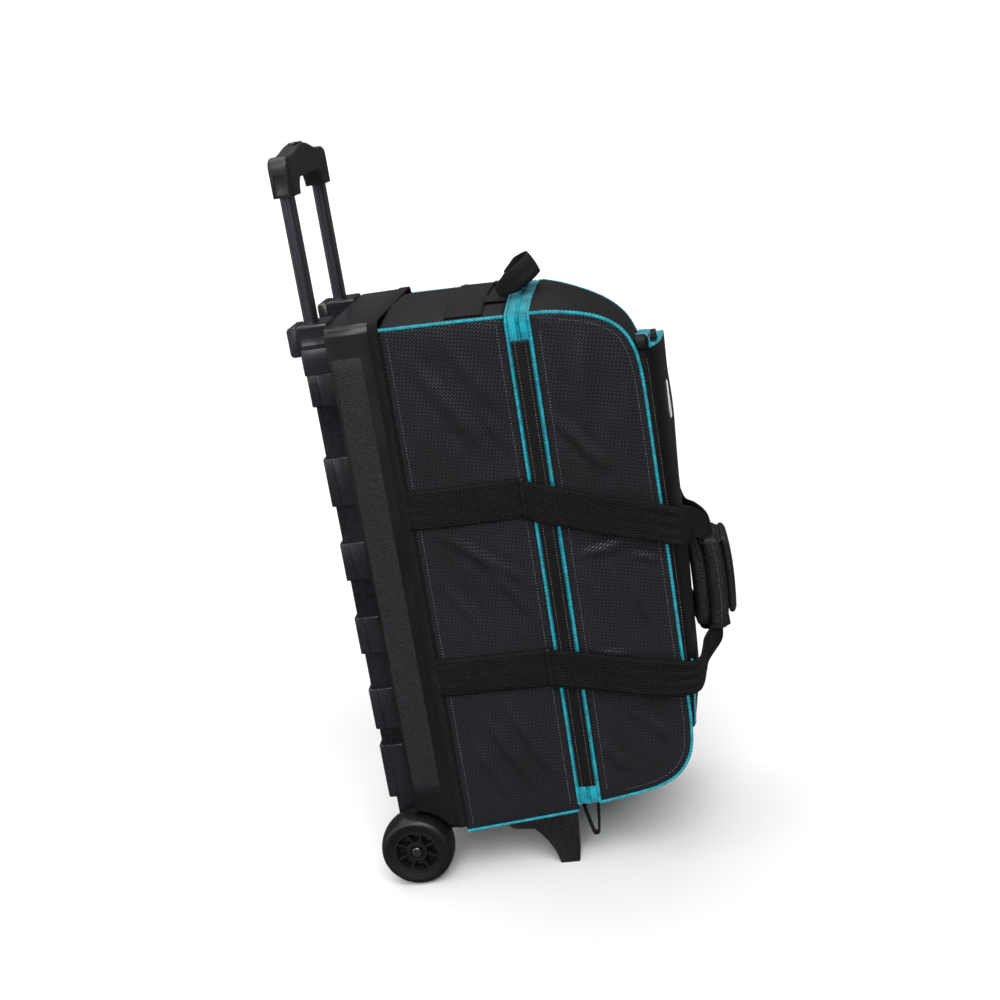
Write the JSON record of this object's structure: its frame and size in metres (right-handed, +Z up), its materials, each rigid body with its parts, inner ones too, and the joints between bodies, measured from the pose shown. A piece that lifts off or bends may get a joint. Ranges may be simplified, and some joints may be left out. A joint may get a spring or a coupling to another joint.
{
  "type": "wheeled bowling ball bag",
  "caption": "Upright wheeled bag for bowling balls with a hard tray back, a telescopic pull handle, a zipped swing-open fabric lid, a front shoe pocket and carry straps.",
  "frame": {"origin": "on the ground, under the middle of the bag's overall width and depth, with the bag standing on its wheels and stand feet", "axes": "+Z up along the pull handle, +X across the width towards the lid hinge, +Y towards the tray and pull handle, so the front pocket faces -Y"},
  "size_m": [0.3, 0.5, 0.9475],
  "materials": {
    "tray": "grained moulded shell",
    "satin_plastic": "satin moulded",
    "handle_metal": "dark anodised",
    "grip_plastic": "matte moulded",
    "black_plastic": "matte moulded",
    "wheel_plastic": "moulded",
    "wheel_rubber": "smooth tread",
    "steel": "brushed",
    "body_fabric": "coated diamond weave",
    "webbing": "ribbed webbing",
    "wrap_leatherette": "soft grained",
    "teal_trim": "woven teal trim",
    "zip_metal": "black painted",
    "foam": "closed-cell foam"
  },
  "bodies": {
    "root": {"axle": "steel", "axle_caps": "steel", "ball_cup_bottom": "foam", "ball_cup_middle": "foam", "ball_cup_top": "foam", "base_board": "black_plastic", "handle_channel_left": "satin_plastic", "handle_channel_right": "satin_plastic", "handle_tabs": "webbing", "pull_loop_anchor": "webbing", "rear_shell": "body_fabric", "sewn_straps_left": "webbing", "sewn_straps_right": "webbing", "stand_foot_left": "black_plastic", "stand_foot_right": "black_plastic", "top_brackets": "satin_plastic", "top_patch": "webbing", "tray": "tray", "tray_binding": "webbing", "tube_cap_left": "satin_plastic", "tube_cap_right": "satin_plastic", "tube_clips_left": "satin_plastic", "tube_clips_right": "satin_plastic", "wheel_housing_left": "black_plastic", "wheel_housing_right": "black_plastic", "zip_flap": "webbing", "zip_piping_rear": "teal_trim", "zip_tape_rear": "teal_trim"},
    "handle": {"grip": "grip_plastic", "handle_tube_left": "handle_metal", "handle_tube_right": "handle_metal", "tube_sliders": "black_plastic"},
    "button": {"release_button": "grip_plastic", "latch_rods": "steel"},
    "wheel_left": {"tyre_left": "wheel_rubber", "wheel_rim_left": "wheel_plastic"},
    "wheel_right": {"tyre_right": "wheel_rubber", "wheel_rim_right": "wheel_plastic"},
    "lid": {"lid_shell": "body_fabric", "zip_piping_front": "teal_trim", "zip_tape_front": "teal_trim", "lid_piping": "teal_trim", "shoe_pocket": "body_fabric", "pocket_zip_back": "teal_trim", "carry_strap_right": "webbing", "wrap_pad_right": "wrap_leatherette", "wrap_flap": "wrap_leatherette"},
    "strap_left": {"carry_strap_left": "webbing", "wrap_pad_left": "wrap_leatherette"},
    "mouth": {"pocket_mouth": "body_fabric", "pocket_zip_front": "teal_trim"},
    "top_loop": {"top_handle": "webbing"},
    "bottom_loop": {"pull_loop": "webbing"},
    "slider_left": {"zip_slider_left": "zip_metal"},
    "slider_right": {"zip_slider_right": "zip_metal"},
    "pull_left": {"zip_pull_left": "zip_metal"},
    "pull_right": {"zip_pull_right": "zip_metal"},
    "pocket_runner": {"pocket_slider": "zip_metal"},
    "pocket_tab": {"pocket_pull": "zip_metal"}
  },
  "joints": [
    {"name": "handle_slide", "type": "slide", "parent": "root", "child": "handle", "axis": [0, 0, 1], "range_m": [-0.147, 0.075]},
    {"name": "button_press", "type": "slide", "parent": "handle", "child": "button", "axis": [0, 0, -1], "range_m": [0, 0.004], "stiffness_N_per_m": 500, "springref_m": -0.006},
    {"name": "wheel_spin_left", "type": "hinge", "parent": "root", "child": "wheel_left", "pos_m": [-0.129, 0.202, 0.048], "axis": [1, 0, 0], "continuous": true},
    {"name": "wheel_spin_right", "type": "hinge", "parent": "root", "child": "wheel_right", "pos_m": [0.129, 0.202, 0.048], "axis": [1, 0, 0], "continuous": true},
    {"name": "lid_swing", "type": "hinge", "parent": "root", "child": "lid", "pos_m": [0.139, -0.0295, 0.4], "axis": [0, 0, 1], "range_deg": [0, 100]},
    {"name": "strap_swing", "type": "hinge", "parent": "root", "child": "strap_left", "pos_m": [-0.139, -0.0215, 0.37], "axis": [0, 0, 1], "range_deg": [-100, 0]},
    {"name": "mouth_fold", "type": "hinge", "parent": "lid", "child": "mouth", "pos_m": [0, -0.1925, 0.547], "axis": [1, 0, 0], "range_deg": [0, 55]},
    {"name": "top_handle_flop", "type": "hinge", "parent": "root", "child": "top_loop", "pos_m": [0, -0.0035, 0.741], "axis": [1, 0, 0], "range_deg": [-100, 0]},
    {"name": "pull_loop_swing", "type": "hinge", "parent": "root", "child": "bottom_loop", "pos_m": [-0.103, -0.028, 0.078], "axis": [0, 1, 0], "range_deg": [-50, 50]},
    {"name": "zip_slide_left", "type": "slide", "parent": "root", "child": "slider_left", "axis": [-1, 0, 0], "range_m": [0, 0.02]},
    {"name": "zip_slide_right", "type": "slide", "parent": "root", "child": "slider_right", "axis": [1, 0, 0], "range_m": [0, 0.02]},
    {"name": "zip_pull_lift_left", "type": "hinge", "parent": "slider_left", "child": "pull_left", "pos_m": [-0.016, -0.0295, 0.7423], "axis": [0, 1, 0], "range_deg": [0, 120]},
    {"name": "zip_pull_lift_right", "type": "hinge", "parent": "slider_right", "child": "pull_right", "pos_m": [0.016, -0.0295, 0.7423], "axis": [0, -1, 0], "range_deg": [0, 120]},
    {"name": "pocket_zip_slide", "type": "slide", "parent": "lid", "child": "pocket_runner", "axis": [1, 0, 0], "range_m": [0, 0.2]},
    {"name": "pocket_pull_lift", "type": "hinge", "parent": "pocket_runner", "child": "pocket_tab", "pos_m": [-0.103, -0.182, 0.6737], "axis": [0, -1, 0], "range_deg": [0, 120]}
  ],
  "couplings": [
    {"joint": "strap_swing", "follows": "lid_swing", "ratio": -1}
  ]
}
